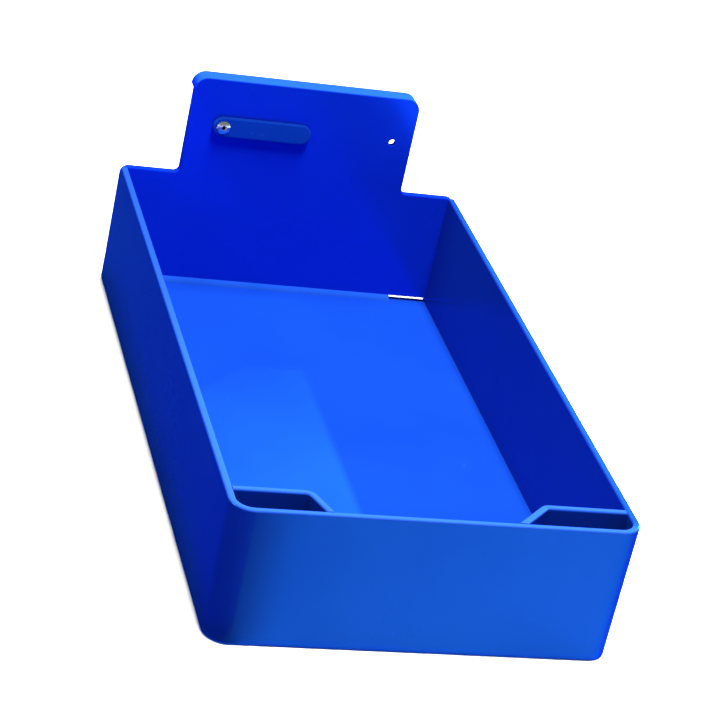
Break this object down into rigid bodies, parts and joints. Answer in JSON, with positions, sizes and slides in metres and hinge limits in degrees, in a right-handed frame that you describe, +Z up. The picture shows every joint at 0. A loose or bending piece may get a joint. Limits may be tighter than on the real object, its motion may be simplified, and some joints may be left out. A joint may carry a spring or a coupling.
{
  "type": "mud pan",
  "caption": "Deep rectangular sheet-metal mud pan with a raised hanger tab and turned-back lip, a blade pocket across each front corner and a riveted swivel link on the tab.",
  "frame": {"origin": "centre of the pan's rectangular footprint, on the underside of the floor plate", "axes": "+Z up out of the open top, +Y along the pan to the back plate and its hanger tab, +X to the right seen from the front"},
  "size_m": [0.165, 0.3103, 0.109],
  "materials": {
    "body_paint": "gloss",
    "link_paint": "gloss",
    "washer_steel": "satin",
    "rivet_aluminium": "satin",
    "stem_steel": "satin"
  },
  "bodies": {
    "pan": {"floor_plate": "body_paint", "wall_band": "body_paint", "back_plate": "body_paint", "left_pocket_strip": "body_paint", "right_pocket_strip": "body_paint", "back_seam_bead": "body_paint", "link_washer": "washer_steel", "rivet_body": "rivet_aluminium", "rivet_stem": "stem_steel"},
    "link": {"swivel_link": "link_paint"}
  },
  "joints": [
    {"name": "link_swivel", "type": "hinge", "parent": "pan", "child": "link", "pos_m": [-0.0385, 0.14785, 0.086], "axis": [0, 1, 0], "continuous": true}
  ]
}
